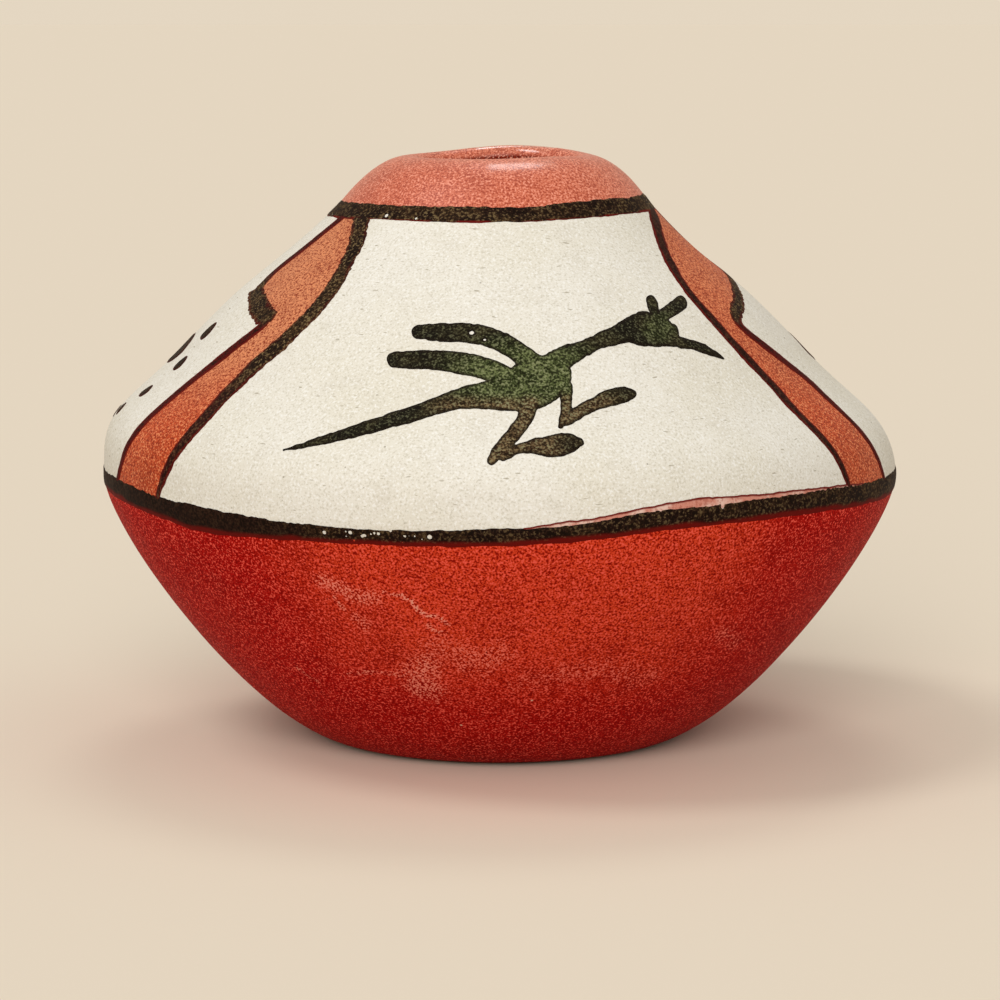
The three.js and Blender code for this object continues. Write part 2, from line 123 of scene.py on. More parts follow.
def noise(places, size, seed):
    """Smooth noise from -1 to 1 whose bumps are about one size across."""
    shifted = places / size + 4096
    low = np.floor(shifted)
    part = shifted - low
    blend = part * part * (3 - 2 * part)
    corner = low.astype(np.uint64)
    total = np.zeros(places.shape[:-1])
    for step in np.ndindex(2, 2, 2):
        weight = np.prod(np.where(step, blend, 1 - blend), axis=-1)
        total += weight * lattice(corner + np.array(step, np.uint64), seed)
    return total * 2 - 1


def smooth_line(points, steps):
    """A dense smooth line through a few points."""
    points = np.array(points, float)
    padded = np.vstack([2 * points[0] - points[1], points, 2 * points[-1] - points[-2]])
    place = np.linspace(0, len(points) - 1, steps)
    index = np.minimum(place.astype(int), len(points) - 2)
    share = (place - index)[:, None]
    before, start, end, after = (padded[index + offset] for offset in range(4))
    bend = 2 * before - 5 * start + 4 * end - after
    twist = 3 * start - before - 3 * end + after
    return start + 0.5 * ((end - before) * share + bend * share ** 2 + twist * share ** 3)


def wrap(angle):
    """The same angle between -180 and 180."""
    return (angle + 180) % 360 - 180


def around(points, angle):
    """The value at an angle of a smooth closed line through a few (angle, value) points round the jar."""
    turned = [(points[-1][0] - 360, points[-1][1]), *points, (points[0][0] + 360, points[0][1])]
    dense = smooth_line(turned, 60 * len(turned))
    return np.interp(angle, dense[:, 0], dense[:, 1], period=360)


# The outline, and places on the jar

def bezier(*points):
    share = np.linspace(0, 1, CURVE_POINTS)[:, None]
    start, leave, arrive, end = (np.array(point, float) for point in points)
    rest = 1 - share
    inner = 3 * rest ** 2 * share * leave + 3 * rest * share ** 2 * arrive
    return rest ** 3 * start + inner + share ** 3 * end


def lip_arc():
    turn = np.radians(np.linspace(90, 90 + LIP_TURN, CURVE_POINTS))
    middle = np.array([LIP_RADIUS, VESSEL_HEIGHT - LIP_ROUND])
    return middle + LIP_ROUND * np.stack([np.cos(turn), np.sin(turn)], axis=1)


def lay_outline():
    """Points along the outline, their distances along it, their outward directions and its curves' ends."""
    shoulder = (SLOPE_HEIGHT - BELLY_HEIGHT) / 2
    slope = (COLLAR_HEIGHT - SLOPE_HEIGHT) / 2
    foot = (FOOT_RADIUS, 0)
    belly = (BELLY_RADIUS, BELLY_HEIGHT)
    middle = (SLOPE_RADIUS, SLOPE_HEIGHT)
    collar = (COLLAR_RADIUS, COLLAR_HEIGHT)
    crest = (LIP_RADIUS, VESSEL_HEIGHT)
    curves = [
        bezier(foot, (FOOT_RADIUS + HEEL_FLARE, HEEL_LIFT),
               (BELLY_RADIUS, BELLY_HEIGHT - BELLY_ROUND), belly),
        bezier(belly, (BELLY_RADIUS, BELLY_HEIGHT + shoulder),
               (SLOPE_RADIUS + shoulder * SLOPE_LEAN, SLOPE_HEIGHT - shoulder), middle),
        bezier(middle, (SLOPE_RADIUS - slope * SLOPE_LEAN, SLOPE_HEIGHT + slope),
               (COLLAR_RADIUS + slope, COLLAR_HEIGHT - slope), collar),
        bezier(collar, (COLLAR_RADIUS - COLLAR_FLARE, COLLAR_HEIGHT + COLLAR_FLARE),
               (LIP_RADIUS + LIP_SHOULDER, VESSEL_HEIGHT), crest),
        lip_arc(),
    ]
    points = np.vstack([curves[0]] + [curve[1:] for curve in curves[1:]])
    along = np.concatenate([[0], np.cumsum(np.linalg.norm(np.diff(points, axis=0), axis=1))])
    heading = np.gradient(points, along, axis=0)
    heading /= np.linalg.norm(heading, axis=1)[:, None]
    outward = np.stack([heading[:, 1], -heading[:, 0]], axis=1)
    ends = [along[(CURVE_POINTS - 1) * (number + 1)] for number in range(len(curves))]
    return points, along, outward, ends


OUTLINE, ALONG, OUTWARD, CURVE_ENDS = lay_outline()
BELLY, MIDDLE, NECK, CREST, LIP_END = CURVE_ENDS
UPRIGHT = (CURVE_POINTS - 1) * 4


def section(distance, out):
    """Radius and height at a distance along the outline, moved off the finished surface."""
    radius, height = (np.interp(distance, ALONG, OUTLINE[:, axis]) for axis in range(2))
    away = [np.interp(distance, ALONG, OUTWARD[:, axis]) for axis in range(2)]
    return radius + out * away[0], height + out * away[1]


def distance_at(height):
    return np.interp(height, OUTLINE[:UPRIGHT, 1], ALONG[:UPRIGHT])


def swell(angle, distance):
    """The soft hollows that hands leave in a wall. They only go in, and the foot has none."""
    radius, height = section(distance, 0)
    turn = np.radians(angle)
    place = np.stack([radius * np.sin(turn), radius * np.cos(turn), height * 1.6], axis=-1)
    hollow = sum(depth * (noise(place, size, seed) - 1) for depth, size, seed in HOLLOWS)
    return hollow * smoothstep(0, 6, distance)


def wall(angle, distance, out=0.0):
    """The point of the jar at an angle and a distance along the outline, standing off by out."""
    angle, distance, out = np.broadcast_arrays(angle, distance, out)
    radius, height = section(distance, out + swell(angle, distance))
    lean = RIM_RETURN * smoothstep(RIM_RETURN_START, VESSEL_HEIGHT, height)
    lean = lean - SHOULDER_LEAN * smoothstep(BELLY_HEIGHT, LEAN_TOP, height)
    near_lip = smoothstep(LIP_RISE_START, VESSEL_HEIGHT, height)
    lift = sum(rise * ((1 + np.cos(np.radians(angle - side))) / 2) ** narrowness
               for rise, side, narrowness in LIP_RISES) * near_lip
    turn = np.radians(angle)
    return np.stack([radius * np.sin(turn) + lean, -radius * np.cos(turn), height + lift], axis=-1)


# Meshes

def add_object(name, data):
    thing = bpy.data.objects.new(name, data)
    bpy.context.scene.collection.objects.link(thing)
    return thing


def make_piece(name, material, points, faces, fields=None):
    """A smooth mesh. Its fields are values at its points that its material reads.

    A name that ends with _fine starts with the CAD node that the piece stands for.
    """
    mesh = bpy.data.meshes.new(name)
    mesh.from_pydata((points * METRES).tolist(), [], faces)
    for field, values in (fields or {}).items():
        mesh.attributes.new(field, "FLOAT", "POINT").data.foreach_set("value", values.astype(np.float32))
    mesh.shade_smooth()
    mesh.set_sharp_from_angle(angle=SHARP_EDGE)
    mesh.materials.append(material)
    piece = add_object(name, mesh)
    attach(piece, "root")
    node = name.removesuffix("_fine")
    if node != name:
        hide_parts(node)
    return piece


class Net:
    """Places on the jar at the crossings of even angles and even distances."""

    def __init__(self, cell, low, high, start=-180, end=180):
        self.closed = end - start >= 360
        columns = math.ceil(math.radians(end - start) * BELLY_RADIUS / cell)
        rows = math.ceil((high - low) / cell)
        self.step = (end - start) / columns
        angles = start + self.step * np.arange(columns if self.closed else columns + 1)
        distances = np.linspace(low, high, rows + 1)
        self.angle, self.distance = np.meshgrid(angles, distances)
        self.height = section(self.distance, 0)[1]
        self.point = wall(self.angle, self.distance)


def cut_cells(depth, closed):
    """Polygons, and the edges between in and out, where depth is above zero on a net.

    Numbers of corners start from 0, of the crossings to their right from the count of corners, and of the
    crossings above them from twice that count.
    """
    rows, columns = depth.shape
    count = rows * columns
    inside = depth > 0
    following = np.roll(inside, -1, axis=1)
    mask = inside[:-1] + 2 * following[:-1] + 4 * following[1:] + 8 * inside[1:]
    if not closed:
        mask = mask[:, :-1]
    polygons, walls = [], []
    for case in range(1, 16):
        row, column = np.nonzero(mask == case)
        if not len(row):
            continue
        after = (column + 1) % columns
        low, high = row * columns, (row + 1) * columns
        corners = [low + column, low + after, high + after, high + column]
        crossings = [count + low + column, 2 * count + low + after,
                     count + high + column, 2 * count + low + column]
        within = [bool(case >> corner & 1) for corner in range(4)]
        beyond = within[1:] + within[:1]
        polygon = []
        for corner in range(4):
            if within[corner]:
                polygon.append(corners[corner])
            if within[corner] != beyond[corner]:
                polygon.append(crossings[corner])
            if within[corner] > beyond[corner]:
                back = next(k % 4 for k in range(corner + 1, corner + 4) if within[k % 4] < beyond[k % 4])
                walls.append(np.stack([crossings[corner], crossings[back]], axis=1))
        polygons.append(np.stack(polygon, axis=1))
    return polygons, walls


def film(name, slot, material, net, depth, rise, base, **fields):
    """A closed coat wherever depth is above zero. It stands up by rise and goes in to base."""
    rows, columns = depth.shape
    count = rows * columns
    polygons, walls = cut_cells(depth, net.closed)
    used = np.unique(np.concatenate([part.ravel() for part in polygons]))
    kind, number = np.divmod(used, count)
    row, column = np.divmod(number, columns)
    next_row = row + (kind == 2)
    next_column = (column + (kind == 1)) % columns
    here, there = depth[row, column], depth[next_row, next_column]
    share = np.where(kind == 0, 0, here / np.where(kind == 0, 1, here - there))

    def spread(values):
        values = np.broadcast_to(values, depth.shape)
        return values[row, column] * (1 - share) + values[next_row, next_column] * share

    angle = net.angle[row, column] + net.step * share * (kind == 1)
    distance = spread(net.distance)
    outer = wall(angle, distance, spread(rise))
    inner = wall(angle, distance, spread(base))
    total = len(used)
    faces = []
    for part in polygons:
        ring = np.searchsorted(used, part)
        faces += ring.tolist() + (ring[:, ::-1] + total).tolist()
    for part in walls:
        start, end = np.searchsorted(used, part).T
        faces += np.stack([end, start, start + total, end + total], axis=1).tolist()
    values = {field: np.tile(spread(value), 2) for field, value in fields.items()}
    make_piece(name, material, np.vstack([outer, inner]), faces, values)


def quads(low, high):
    """Faces between rows of points round the jar and the rows above them."""
    faces = np.stack([low, np.roll(low, -1, axis=1), np.roll(high, -1, axis=1), high], axis=-1)
    return faces.reshape(-1, 4).tolist()


def ring_of_clay(name, material, distances, outs):
    """A closed ring from the places of its section, each a distance along the outline and a stand-off."""
    turn = np.radians(CLAY_ANGLES)
    places = np.broadcast_arrays(np.sin(turn) * 20, np.cos(turn) * 20, distances[:, None] * 2)
    marks = FINGER_MARKS * (noise(np.stack(places, axis=-1), 5, 3) - 1)
    inside = (outs < -WALL / 2)[:, None]
    points = wall(CLAY_ANGLES, distances[:, None], outs[:, None] + marks * inside)
    place = np.arange(points.size // 3).reshape(points.shape[:2])
    faces = quads(place, np.roll(place, -1, axis=0))
    make_piece(name, material, points.reshape(-1, 3), faces)


# Finishes. A tone is a colour as the eye names it, from 0 to 255.

# Red slip's tone where it was rubbed pale, and the painted shade where it goes into the mouth
RUBBED = (250, 184, 156)
MOUTH_SHADE = (96, 14, 8)


def linear(red, green, blue):
    """A tone turned into light."""
    def channel(value):
        value = value / 255
        return value / 12.92 if value <= 0.04045 else ((value + 0.055) / 1.055) ** 2.4
    return (channel(red), channel(green), channel(blue), 1)


def feed(tree, socket, value):
    """Links a socket to another one, or sets it to a plain value."""
    if isinstance(value, bpy.types.NodeSocket):
        tree.links.new(value, socket)
    else:
        socket.default_value = value


def add_node(tree, kind, values, **settings):
    """The outputs of a new node with its settings, and with its sockets fed from values."""
    node = tree.nodes.new(f"ShaderNode{kind}")
    for setting, value in settings.items():
        setattr(node, setting, value)
    for socket, value in values.items():
        feed(tree, node.inputs[socket], value)
    return node.outputs


class Finish:
    """A material whose nodes work in millimetres of the jar. Its colour is built up by tints."""

    def __init__(self, name, gloss, roughness=0.5):
        self.material = bpy.data.materials.new(name)
        self.material.use_nodes = True
        self.tree = self.material.node_tree
        self.shader = self.tree.nodes["Principled BSDF"].inputs
        self.feed("Roughness", roughness)
        self.feed("Specular IOR Level", gloss)
        place = self.node("TexCoord", {})["Object"]
        self.place = self.node("VectorMath", {0: place, "Scale": 1 / METRES}, operation="SCALE")[0]
        self.colour = None

    def node(self, kind, values, **settings):
        return add_node(self.tree, kind, values, **settings)

    def feed(self, socket, value):
        feed(self.tree, self.shader[socket], value)

    def math(self, operation, first, second):
        return self.node("Math", {0: first, 1: second}, operation=operation)[0]

    def noise(self, size, seed, detail=3, roughness=0.5, flatness=1):
        """Noise with bumps of one size, pressed flat into level streaks by its flatness."""
        place = self.place
        if flatness != 1:
            place = self.node("VectorMath", {0: place, 1: (1, 1, flatness)}, operation="MULTIPLY")[0]
        values = {"Vector": place, "W": seed, "Scale": 1 / size, "Detail": detail, "Roughness": roughness}
        return self.node("TexNoise", values, noise_dimensions="4D")[0]

    def between(self, value, low, high):
        """0 below low and 1 above high, with a soft step between them. Low may be the larger one."""
        values = {"Value": value, "From Min": low, "From Max": high}
        return self.node("MapRange", values, interpolation_type="SMOOTHSTEP")["Result"]

    def specks(self, size, radius, share, seed):
        """Round specks in a share of the cells of one size. Their radius is a share of a cell."""
        values = {"Vector": self.place, "W": seed, "Scale": 1 / size}
        cells = self.node("TexVoronoi", values, voronoi_dimensions="4D")
        pick = self.node("SeparateColor", {0: cells["Color"]})[0]
        near = self.between(cells["Distance"], radius, radius * 0.6)
        return self.math("MULTIPLY", near, self.math("LESS_THAN", pick, share))

    def field(self, name):
        return self.node("Attribute", {}, attribute_name=name)["Fac"]

    def blend(self, share, first, second):
        """A mix of two colours, each a socket or a tone from 0 to 255."""
        first, second = (linear(*tone) if isinstance(tone, tuple) else tone for tone in (first, second))
        return self.node("Mix", {0: share, 6: first, 7: second}, data_type="RGBA")[2]

    def tint(self, share, tone, strength=None):
        """Lays a tone over the colour so far. A strength lessens its share."""
        if strength:
            share = self.math("MULTIPLY", share, strength)
        self.colour = self.blend(share, self.colour, tone)

    def rough(self, value, low, high, start=0.0):
        """Roughness that runs from low to high as value runs from start to 1."""
        values = {"Value": value, "From Min": start, "To Min": low, "To Max": high}
        self.feed("Roughness", self.node("MapRange", values)["Result"])

    def bump(self, *layers):
        """Relief from layers of (value, depth in millimetres)."""
        normal = {}
        for value, depth in layers:
            relief = self.node("Bump", {"Height": value, "Distance": depth * METRES, **normal})
            normal = {"Normal": relief[0]}
        self.feed("Normal", normal["Normal"])

    def done(self):
        self.feed("Base Color", self.colour)
        return self.material


def red_slip_finish(name, tones, roughness, gloss, scuffed=False, polished=False):
    """Stone-polished red slip. Tones are its deep, plain and thin tones and its pale grain.

    Its thin field says how thinly the slip was brushed on, and on the bowl and the dividers it also holds
    painted light, lighter higher up. Its inside field is painted shade going into the mouth.
    """
    deep, plain, thin, pale = tones
    slip = Finish(name, gloss)
    patch = slip.math("ADD", slip.field("thin"), slip.noise(17, 1.5))
    slip.colour = slip.blend(slip.between(patch, 0.45, 1.45), plain, thin)
    slip.tint(slip.between(slip.noise(5, 3.5), 0.47, 0.7), deep, 0.35)
    if polished:
        # Painted shade: past the crest the slip turns dark, as the mouth falls into shadow
        slip.tint(slip.field("inside"), MOUTH_SHADE)
    grain = slip.noise(0.23, 2.5, 1)
    slip.tint(slip.between(grain, 0.5, 0.38), deep, 0.9)
    if scuffed:
        rub = slip.field("scuff")
        raised = slip.math("ADD", grain, slip.math("MULTIPLY", rub, 0.12))
        pale = slip.blend(slip.math("MULTIPLY", rub, 0.8), pale, RUBBED)
        slip.tint(slip.between(raised, 0.54, 0.65), pale)
    else:
        slip.tint(slip.between(grain, 0.54, 0.65), pale, 0.85)
    slip.tint(slip.specks(2.6, 0.07, 0.4, 4.5), (244, 196, 164), 0.8)
    slip.tint(slip.specks(1.7, 0.1, 0.4, 5.5), (70, 10, 5), 0.8)
    streaks = slip.noise(2.4, 7.5, 3, 0.6, 7)
    worked = slip.noise(1.6, 6.5)
    if polished:
        shine = slip.math("MULTIPLY", slip.field("polish"), slip.between(streaks, 0.24, 0.4))
        slip.rough(slip.math("SUBTRACT", worked, shine), 0.16, roughness + 0.14, -0.5)
        # Where the painted shade of the mouth sets in, the gloss goes too
        outside = slip.math("SUBTRACT", 1.0, slip.field("inside"))
        slip.feed("Specular IOR Level", slip.math("MULTIPLY", outside, gloss))
        slip.feed("Coat Weight", shine)
        slip.feed("Coat Roughness", 0.12)
        slip.bump((grain, 0.012), (streaks, 0.02))
    else:
        slip.rough(worked, roughness - 0.1, roughness + 0.14)
        slip.bump((grain, 0.035), (streaks, 0.05))
    return slip.done()


def cream_slip_finish():
    slip = Finish("cream_slip", 0.1)
    broad = slip.noise(14, 11.5)
    slip.colour = slip.blend(slip.between(broad, 0.35, 0.7), (239, 233, 219), (233, 226, 208))
    slip.tint(slip.between(slip.noise(3.2, 12.5), 0.5, 0.72), (218, 210, 194), 0.3)
    grain = slip.noise(0.26, 13.5, 1, 0.6)
    slip.tint(slip.between(grain, 0.54, 0.68), (196, 188, 168), 0.5)
    slip.tint(slip.between(grain, 0.46, 0.32), (253, 250, 242), 0.7)
    pits = slip.specks(3.4, 0.07, 0.4, 15.5)
    hairs = slip.between(slip.noise(1.3, 18.5, 1, 0.5, 5), 0.71, 0.76)
    slip.tint(slip.specks(1.1, 0.13, 0.3, 14.5), (128, 116, 94), 0.6)
    slip.tint(pits, (84, 74, 56), 0.9)
    slip.tint(slip.specks(6.5, 0.034, 0.35, 19.5), (96, 70, 46), 0.9)
    slip.tint(hairs, (150, 138, 112), 0.6)
    slip.rough(slip.noise(2, 16.5), 0.45, 0.65)
    streaks = slip.noise(2.4, 17.5, 3, 0.6, 5)
    slip.bump((grain, 0.03), (streaks, 0.04), (slip.math("SUBTRACT", 1.0, pits), 0.04))
    return slip.done()


def add_minerals(paint, seed, sand):
    """Grains and flecks in a coat of paint. Its dry field says how thin and sandy the brush was."""
    grain = paint.noise(0.26, seed, 1, 0.6)
    paint.tint(paint.between(grain, 0.54, 0.4), (12, 6, 2), 0.8)
    paint.tint(paint.math("MULTIPLY", paint.between(grain, 0.54, 0.66), paint.field("dry")), sand, 0.85)
    paint.tint(paint.specks(1.5, 0.09, 0.2, 23.5), (206, 190, 162))


def black_paint_finish():
    """Black where it is thick, brown in patches, and maroon where the brush left a thin coat."""
    paint = Finish("black_paint", 0.05)
    cloud = paint.noise(2.4, 21.5)
    brown = paint.math("MULTIPLY", paint.between(cloud, 0.44, 0.64), paint.field("dry"))
    paint.colour = paint.blend(brown, (38, 20, 13), (74, 52, 31))
    paint.tint(paint.field("maroon"), (84, 12, 9), 0.85)
    add_minerals(paint, 22.5, (128, 108, 72))
    paint.tint(paint.field("thin"), (104, 16, 10))
    paint.rough(paint.noise(1.2, 24.5, 2), 0.55, 0.8)
    paint.bump((cloud, 0.04))
    return paint.done()


def bird_paint_finish():
    """Olive in the middle of the bird, brown on its legs and nearly black at its tips and edges."""
    paint = Finish("olive_paint", 0.05)
    streaks = paint.noise(1.6, 36.5, 3, 0.6, 6)
    dark = paint.blend(paint.between(paint.noise(3, 32.5, 2), 0.4, 0.65), (30, 27, 17), (58, 52, 32))
    olive = paint.blend(paint.between(paint.noise(1.1, 33.5), 0.4, 0.6), (60, 68, 34), (104, 112, 68))
    brown = paint.blend(paint.between(streaks, 0.4, 0.62), (76, 54, 34), (134, 110, 76))
    paint.colour = dark
    paint.tint(paint.field("olive"), olive)
    paint.tint(paint.field("brown"), brown)
    add_minerals(paint, 31.5, (150, 150, 112))
    paint.tint(paint.between(paint.field("edge"), 0.34, 0.08), (26, 17, 11), 0.85)
    paint.rough(paint.noise(1.2, 35.5, 2), 0.55, 0.8)
    paint.bump((streaks, 0.04))
    return paint.done()


def wash_finish():
    """The pink wash that ran out above the shoulder line, with a red line along its upper edge."""
    wash = Finish("thin_wash", 0.1, 0.6)
    cloud = wash.between(wash.noise(2, 51.5), 0.4, 0.62)
    wash.colour = wash.blend(cloud, (214, 142, 122), (236, 198, 180))
    grain = wash.noise(0.34, 52.5, 2, 0.65)
    wash.tint(wash.between(grain, 0.52, 0.38), (160, 76, 56), 0.5)
    wash.tint(wash.between(wash.field("edge"), 0.3, 0.12), (112, 30, 22))
    wash.bump((grain, 0.03))
    return wash.done()


def bare_clay_finish():
    clay = Finish("bare_clay", 0.2, 0.85)
    broad = clay.noise(9, 41.5, 4)
    clay.colour = clay.blend(clay.between(broad, 0.35, 0.68), (178, 118, 84), (142, 88, 60))
    grain = clay.noise(0.5, 42.5, 3, 0.6)
    clay.tint(clay.between(grain, 0.5, 0.3), (96, 60, 42), 0.6)
    clay.tint(clay.specks(1.3, 0.16, 0.4, 43.5), (214, 190, 160), 0.7)
    clay.bump((grain, 0.08), (broad, 0.3))
    return clay.done()


# Clay: a flat base slab and rings, each lapped down inside the one below it

COURSES = ["base_slab", "lower_course_1", "lower_course_2", "lower_course_3", "belly_course",
           "shoulder_course", "slope_course", "neck_course", "rim_coil"]


def course_tops():
    """How far along the outline each piece of clay reaches."""
    lower = np.linspace(SLIP_FOOT_GAP, BELLY - SHOULDER_LINE / 2, 6)
    shoulder = np.linspace(BELLY + SHOULDER_LINE / 2, MIDDLE, 4)
    slope = np.linspace(MIDDLE, NECK - NECK_LINE / 2, 3)
    return dict(zip(COURSES, [*lower[1:5], shoulder[0], shoulder[2], *slope[1:], LIP_END]))


def lay_base(material, top):
    """A flat slab. Its section runs from the axis along the foot, up the heel and back over the floor."""
    rise = np.linspace(0, top, CLAY_ROWS)
    heel = section(rise, -SLIP * smoothstep(0, SLIP_FOOT_GAP, rise))
    inner = section(top - LAP, -WALL)
    radius = np.concatenate([[0, FOOT_RADIUS / 2], heel[0], [inner[0], FOOT_RADIUS - WALL / 2, 0]])
    height = np.concatenate([[0, 0], heel[1], [inner[1], FLOOR, FLOOR]])
    turn = np.radians(CLAY_ANGLES)
    points = np.stack(np.broadcast_arrays(
        radius[:, None] * np.sin(turn), -radius[:, None] * np.cos(turn), height[:, None]), axis=-1)
    place = np.arange(points.size // 3).reshape(points.shape[:2])
    faces = quads(place[:-1], place[1:])
    piece = make_piece("base_slab_fine", material, points.reshape(-1, 3), faces)
    form = bmesh.new()
    form.from_mesh(piece.data)
    bmesh.ops.remove_doubles(form, verts=form.verts, dist=0.001 * METRES)
    bmesh.ops.recalc_face_normals(form, faces=form.faces)
    form.to_mesh(piece.data)
    form.free()


def lay_clay():
    material = bare_clay_finish()
    tops = course_tops()
    lay_base(material, tops["base_slab"])
    for below, name in zip(COURSES, COURSES[1:]):
        outer = np.linspace(tops[below], tops[name], CLAY_ROWS)
        crest = min(tops[name], CREST)
        inner = np.linspace(crest, tops[below], CLAY_ROWS) - LAP
        distances = np.concatenate([outer, inner])
        ring_of_clay(f"{name}_fine", material, distances, np.repeat([-SLIP, -WALL], CLAY_ROWS))


# The lines round the jar, as angles and heights of their lower and upper edges

SHOULDER_TOP = [
    (-67, 31.8), (-54, 31.2), (-40, 30.8), (-30, 30.3), (-18, 30.1), (-8, 30.3), (0, 30.5), (8, 30.8),
    (15, 31.5), (21, 32.05), (28, 32.2), (36, 32.4), (44, 32.45), (55, 32.3), (67, 31.9), (95, 31.6),
    (125, 31), (150, 31.1), (180, 31.8), (215, 32.4), (245, 32.1), (270, 31.9),
]
SHOULDER_BOTTOM = [
    (-68, 29.5), (-54, 28.75), (-45, 28.1), (-30, 28.25), (-13, 28.4), (0, 28.65), (9, 28.9), (18, 29.55),
    (28, 29.95), (45, 30), (60, 29.65), (75, 29.3), (100, 28.8), (125, 28.5), (150, 28.8), (180, 29.4),
    (215, 30), (245, 29.9), (270, 29.7),
]
FRINGE = [
    (3, 30.5), (5.6, 30.85), (11.1, 31.4), (15.7, 31.95), (20.2, 32.5), (22.2, 32.75), (25.6, 32.95),
    (28.4, 33.05), (33.9, 32.9), (43.9, 32.85), (49.4, 32.7), (55.1, 32.5), (61, 32.1),
]
NECK_TOP = [
    (-72, 62.2), (-46, 62.3), (-19, 62.3), (0, 62.25), (10, 62.3), (26, 62.6), (45, 62.85), (90, 62.9),
    (135, 62.6), (180, 62.3), (230, 62.1), (265, 62.1),
]
NECK_BOTTOM = [
    (-61, 60.6), (-41, 60.8), (-18, 60.7), (3, 60.7), (24, 60.9), (41, 61.1), (65, 61.2), (110, 61.1),
    (150, 60.8), (180, 60.6), (230, 60.5), (270, 60.5),
]

# How sandy their paint looks, by angle
SHOULDER_SAND = [(-70, 0.15), (-40, 0.15), (-22, 0.4), (0, 0.85), (40, 0.9), (90, 0.8), (180, 0.7),
                 (250, 0.5)]
NECK_SAND = [(-60, 1), (-35, 1), (-5, 0.7), (20, 0.7), (40, 1.2), (80, 1.2), (180, 0.8)]

# The four lines of the front panel, from the neck down, as angle, height and width
SMOOTH_LEFT = [
    (-56.5, 62, 2.6), (-50.2, 60.3, 2.6), (-44.6, 58.2, 2.2), (-41.7, 55.7, 2.1), (-40.1, 53.3, 2.2),
    (-40.6, 51.2, 2.4), (-41.6, 49.6, 2.5), (-43.9, 47.3, 2.6), (-46.6, 44.9, 2.5), (-48.3, 42.2, 2.4),
    (-48.6, 40, 2.2), (-49.5, 37.8, 1.9), (-51.1, 35.6, 1.6), (-52.8, 33.4, 1.2), (-54.2, 31.5, 0.9),
    (-55, 30.2, 0.8),
]
STEPPED_LEFT = [
    (-62.5, 62, 1.6), (-65.2, 60.3, 1.6), (-69.2, 57.3, 1.7), (-71, 55.2, 1.7), (-70.9, 53.9, 1.7),
    (-68.9, 52.7, 1.7), (-64, 51.8, 1.7), (-58, 51, 1.7), (-54.2, 50.3, 1.7), (-52.6, 49.5, 1.7),
    (-53.7, 48.4, 1.6), (-57, 46.2, 1.6), (-59.9, 44, 1.6), (-61.9, 42, 1.6), (-63.1, 39.7, 1.6),
    (-64.2, 37.4, 1.6), (-65.6, 35.4, 1.3), (-67.2, 33.4, 1.1), (-68.8, 31.7, 0.9), (-70, 30.4, 0.8),
]
SMOOTH_RIGHT = [
    (84, 62.2, 2), (75.5, 61, 1.9), (66.5, 59.6, 1.8), (59, 57.7, 1.6), (54.2, 55.5, 1.5),
    (51.7, 53.5, 1.5), (51.1, 51.7, 1.6), (51.4, 49.5, 1.6), (52.2, 47.4, 1.6), (53.3, 45.2, 1.7),
    (54.1, 42.9, 1.7), (54.2, 40.2, 1.6), (54.8, 37.8, 1.4), (55.5, 35.6, 1.3), (56.1, 33.5, 1.1),
    (56.8, 31.4, 1),
]
STEPPED_RIGHT = [
    (89, 62.2, 1.6), (92.5, 60.4, 1.6), (96, 57.6, 1.6), (97.5, 55.6, 1.5), (95.5, 54.5, 1.4),
    (88, 53.6, 1.4), (78, 52.6, 1.6), (68.5, 51.3, 1.7), (61.8, 50.3, 1.7), (59.2, 49.4, 1.7),
    (59.9, 48.2, 1.7), (62.4, 46.6, 1.7), (65.2, 44.8, 1.7), (67.5, 42.9, 1.7), (67.8, 40.9, 1.6),
    (68, 38.8, 1.5), (68.4, 36.5, 1.3), (69, 34.2, 1.2), (69.8, 32.2, 1), (70.6, 30.6, 0.9),
]
ROUTE_STEPS = 160

# The broad touches at the steps, as the angles and heights of their corners
LEFT_SLAB = [(-73.6, 52.2), (-67, 52.9), (-51.2, 50.8), (-50.6, 49.8), (-54.6, 49.3)]
RIGHT_SLAB = [(83, 53.2), (72.5, 53.6), (58, 50.9), (57, 49.6), (61.6, 49.1)]


# The back left line keeps closer to its divider above the step
STEPPED_BACK = [(angle - 16 * max(0, min(1, (height - 50) / 5)), height, width)
                for angle, height, width in STEPPED_RIGHT]

# The lines beside the dividers in their order round the jar: points, turn, slab and the coat to the right
LINES = {
    "smooth_line_front_left": (SMOOTH_LEFT, 0, None, "cream_panel_front"),
    "smooth_line_front_right": (SMOOTH_RIGHT, 0, None, "red_divider_front_right"),
    "stepped_line_front_right": (STEPPED_RIGHT, 0, RIGHT_SLAB, "cream_panel_right"),
    "stepped_line_back_right": (STEPPED_LEFT, 180, LEFT_SLAB, "red_divider_back_right"),
    "smooth_line_back_right": (SMOOTH_LEFT, 180, None, "cream_panel_back"),
    "smooth_line_back_left": (SMOOTH_RIGHT, 180, None, "red_divider_back_left"),
    "stepped_line_back_left": (STEPPED_BACK, 180, RIGHT_SLAB, "cream_panel_left"),
    "stepped_line_front_left": (STEPPED_LEFT, 360, LEFT_SLAB, "red_divider_front_left"),
}


def route_of(name):
    """Dense angles, distances and widths of a line."""
    points, turn = LINES[name][:2]
    dense = smooth_line(points, ROUTE_STEPS)
    return dense[:, 0] + turn, distance_at(dense[:, 1]), dense[:, 2]


def edge_angle(name, distance):
    angle, along, _ = route_of(name)
    return np.interp(distance, along[::-1], angle[::-1])


def slip_border(angle):
    """Where the red slip of the bowl ends, a little under the middle of the shoulder line."""
    low, high = around(SHOULDER_BOTTOM, angle), around(SHOULDER_TOP, angle)
    return distance_at(low * 0.7 + high * 0.3)


def collar_border(angle):
    return distance_at((around(NECK_BOTTOM, angle) + around(NECK_TOP, angle)) / 2)


# Slips

